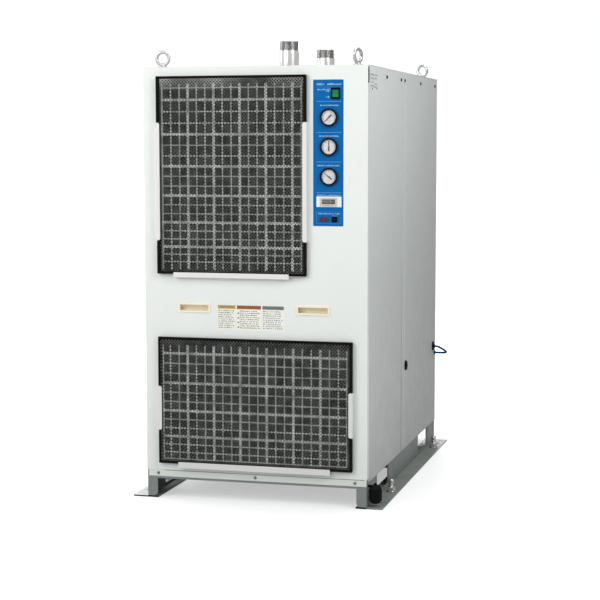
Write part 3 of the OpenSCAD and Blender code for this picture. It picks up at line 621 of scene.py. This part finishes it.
for name in ("air_inlet_pipe", "air_outlet_pipe"):
    lo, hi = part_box(name)
    cx, cy = (lo.x + hi.x) / 2, (lo.y + hi.y) / 2
    shoulder_z = hi.z - THREAD_LEN
    b = Build()
    b.lathe([(BORE_R, hi.z - 0.0012), (BORE_R, lo.z), (PIPE_R, lo.z), (PIPE_R, shoulder_z - 0.0015),
             (THREAD_R, shoulder_z)], "pipe", at=(cx, cy, 0), seg=72)
    thread_grid(b, (cx, cy), shoulder_z, hi.z - 0.0008, THREAD_R, ROOT_R, PIPE_PITCH, "thread", 72)
    b.lathe([(THREAD_R - 0.0007, hi.z - 0.0008), (0.0288, hi.z), (0.0270, hi.z), (BORE_R, hi.z - 0.0012)],
            "thread", at=(cx, cy, 0), seg=72)
    b.done(name + "_threaded", "cabinet", swaps=(name,))

# ------------------------------------------------------------------ foot bolts
WASHER = ((0, 0.0045), (0.0150, 0.0045), (0.0150, 0.0070), (0.0145, 0.0075), (0.008, 0.0075))
NUT = ((0.0138, 0.0075), (0.0138, 0.0190), (0.0122, 0.0205), (0.008, 0.0205))
SHANK = ((0, 0.0002), (0.0072, 0.0002), (0.0079, 0.001), (0.0079, 0.0200))
TOP = ((0.0078, 0.036), (0.0092, 0.0365), (0.0092, 0.0448), (0.0082, 0.046), (0, 0.046))
bolts = Build()
for x in (-0.386, 0.386):
    for y in (-0.352, 0.430):
        bolts.lathe(WASHER, "zinc", at=(x, y, 0))
        bolts.add([(x + r * math.cos(i * math.pi / 3), y + r * math.sin(i * math.pi / 3), z)
                   for r, z in NUT for i in range(6)], ring_quads(len(NUT) - 1, 6), "eye")
        bolts.lathe(SHANK, "zinc", at=(x, y, 0))
        thread_grid(bolts, (x, y), 0.0200, 0.0360, 0.0080, 0.0071, 0.002, "zinc", 32)
        bolts.lathe(TOP, "zinc", at=(x, y, 0))
bolts.done("foot_bolts", "cabinet", swaps=("levelling_bolts",))

# ------------------------------------------------------------------ panel screws
SIDE_HEAD = ((0.0054, 0.0), (0.0054, 0.0012), (0.0048, 0.0026), (0.0030, 0.0035), (0.0016, 0.0036),
             (0.0016, 0.0016), (0.0, 0.0016))
FRONT_HEAD = ((0.0052, 0.0), (0.0052, 0.0008), (0.0046, 0.0016), (0.0030, 0.0021), (0.0, 0.0022))
SIDE_SCREW_Z, FRONT_SCREW_Z = 1.338, 0.0805
screws = Build()
for s in (1, -1):
    for y in (-0.324, -0.089, -0.026, 0.263, 0.551):
        screws.lathe([(r, h * s) for r, h in SIDE_HEAD], "screw", at=(s * SIDE_X, y, SIDE_SCREW_Z),
                     axis="X", seg=24)
for x in (-0.322, 0.0, 0.322):
    screws.lathe(FRONT_HEAD, "shade", at=(x, FRONT_Y, FRONT_SCREW_Z), axis="-Y", seg=20)
    # the two arms of the cross, raised black bars that are painted shade for the hollow recess
    for w, h in ((0.0010, 0.0034), (0.0034, 0.0010)):
        screws.box((x - w, FRONT_Y - 0.00215, FRONT_SCREW_Z - h),
                   (x + w, FRONT_Y - 0.0008, FRONT_SCREW_Z + h), "matt_black")
screws.done("cross_head_screws", "cabinet", swaps=("panel_screws",))

# ------------------------------------------------------------------ dark and light edges
FOOT_END_Y = FRONT_Y + 0.0010       # just behind the front ends of the rails
LIP_Y = (FRONT_Y - 0.00012, FRONT_Y + 0.0001)

# black sheets of painted shade in the gaps under the legs and on the front end of the left foot
edge = Build()
for x in (-0.358, 0.3235):
    edge.box((x, FOOT_END_Y, 0.0), (x + 0.0345, FOOT_END_Y + 0.0002, 0.0050), "matt_black")
edge.box((-0.408, FOOT_END_Y, 0.0), (-0.358, FOOT_END_Y + 0.0002, 0.0042), "rubber_and_shade")
edge.done("leg_gap_shade", "cabinet")

# shadow under the front panel and at the left end of the cross member
lip = Build()
lip.box((-0.300, LIP_Y[0], 0.0892), (0.352, LIP_Y[1], 0.0918), "shade")
lip.box((-0.3578, LIP_Y[0], 0.0702), (-0.3540, LIP_Y[1], 0.0908), "shade")
lip.done("base_strip_shade", "cabinet")

# pale strips on the edges of the seam between the right side panels: a painted highlight, lighter than
# the side paint
seam = Build()
seam_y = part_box("right_side_panel_rear")[0].y
for offset, x in ((0.001, 0.3619), (0.049, 0.3603)):
    y = seam_y + offset
    seam.box((SIDE_X, y, 0.095), (x, y + 0.0045, 1.355), "seam")
seam.done("seam_edges", "cabinet")

# black sheets of painted shade in the hook slots in the side returns of the front panel
slots = Build()
for x in (-0.3595, 0.3589):
    slots.box((x, -0.5987, 1.3108), (x + 0.0006, -0.5802, 1.3602), "matt_black")
slots.done("hook_slot_shade", "front_panel")

# ------------------------------------------------------------------ small plates on the right side
PLATES = ((-0.566, -0.522, 1.298, 1.342, 4), (-0.512, -0.466, 1.322, 1.342, 2),
          (-0.512, -0.466, 1.296, 1.314, 2))    # y0, y1, z0, z1, rows of print
PLATE_T, PRINT_T = 0.0002, 0.00004
plates = Build()
for y0, y1, z0, z1, rows in PLATES:
    plates.box((SIDE_X, y0, z0), (SIDE_X + PLATE_T, y1, z1), "side")
    row_h = (z1 - z0) / rows
    for i in range(rows):
        zc = z1 - (i + 0.5) * row_h
        y = y0 + 0.002
        while y < y1 - 0.006:
            w = rnd.uniform(0.004, 0.010)
            plates.box((SIDE_X + PLATE_T, y, zc - row_h * 0.22),
                       (SIDE_X + PLATE_T + PRINT_T, min(y + w, y1), zc + row_h * 0.22), "lab_ink")
            y += w + rnd.uniform(0.004, 0.010)
for y, z in ((-0.544, 1.3385), (-0.538, 1.295), (-0.476, 1.297)):
    plates.lathe([(0.0030, 0.0), (0.0030, 0.0008), (0.0, 0.0010)], "matt_black", at=(SIDE_X, y, z),
                 axis="X", seg=16)
plates.done("side_plates", "cabinet")

# ------------------------------------------------------------------ floor, world and lights
FLOOR_HALF = 40
scene.view_settings.view_transform = "Standard"


def camera_rays(nt):
    return node(nt, "ShaderNodeLightPath").outputs["Is Camera Ray"]


fl = bpy.data.meshes.new("floor")
fl.from_pydata([(-FLOOR_HALF, -FLOOR_HALF, 0), (FLOOR_HALF, -FLOOR_HALF, 0),
                (FLOOR_HALF, FLOOR_HALF, 0), (-FLOOR_HALF, FLOOR_HALF, 0)], [], [(0, 1, 2, 3)])
floor = bpy.data.objects.new("floor", fl)
scene.collection.objects.link(floor)
# the floor is lifted to white for the camera, less so near the object, where its shadow lies
floor_mat = surface("floor_pale", (0.55, 0.555, 0.56), 0.8, tint=0.004, grain=0.0)
ft = floor_mat.node_tree
floor_bsdf = ft.nodes["Principled BSDF"]
floor_bsdf.inputs["Emission Color"].default_value = (1, 1, 1, 1)
far = node(ft, "ShaderNodeVectorMath", operation="LENGTH")
ft.links.new(node(ft, "ShaderNodeTexCoord").outputs["Object"], far.inputs[0])
glow = ramp(ft, far.outputs["Value"], 0.8, 5.0, 0.47, 0.97)
ft.links.new(times(ft, camera_rays(ft), glow), floor_bsdf.inputs["Emission Strength"])
fl.materials.append(floor_mat)

world = bpy.data.worlds.new("studio")
scene.world = world
world.use_nodes = True
wt = world.node_tree
bg = wt.nodes["Background"]
bg.inputs["Color"].default_value = (0.985, 0.99, 1.0, 1)
wt.links.new(ramp(wt, camera_rays(wt), 0, 1, 0.29, 1.03), bg.inputs["Strength"])


def area(name, at, target, size, power):
    li = bpy.data.lights.new(name, "AREA")
    li.shape = "RECTANGLE"
    li.size, li.size_y = size
    li.energy = power
    o = bpy.data.objects.new(name, li)
    scene.collection.objects.link(o)
    o.location = at
    o.rotation_euler = (Vector(target) - Vector(at)).to_track_quat("-Z", "Y").to_euler()
    return o


area("key", (-2.3, -4.2, 3.3), (0, -0.6, 1.1), (4.4, 3.6), 118)
area("strip_left", (-3.0, -3.9, 2.3), (0.06, -0.4, 1.3), (1.4, 2.6), 44)
area("strip_right", (4.1, -2.9, 2.3), (0.06, -0.4, 1.2), (1.3, 2.6), 19)
area("side_high", (2.7, -2.3, 3.3), (0.36, -0.5, 1.25), (1.2, 1.2), 55)
area("left", (-4.2, 0.8, 2.6), (0, 0.1, 0.4), (2.0, 2.0), 70)
area("top", (0.6, 0.2, 4.4), (0.2, 0, 0.6), (2.6, 2.6), 95)
area("rear", (-0.7, 4.4, 2.4), (0, 0.6, 0.8), (1.0, 1.6), 85).visible_camera = False
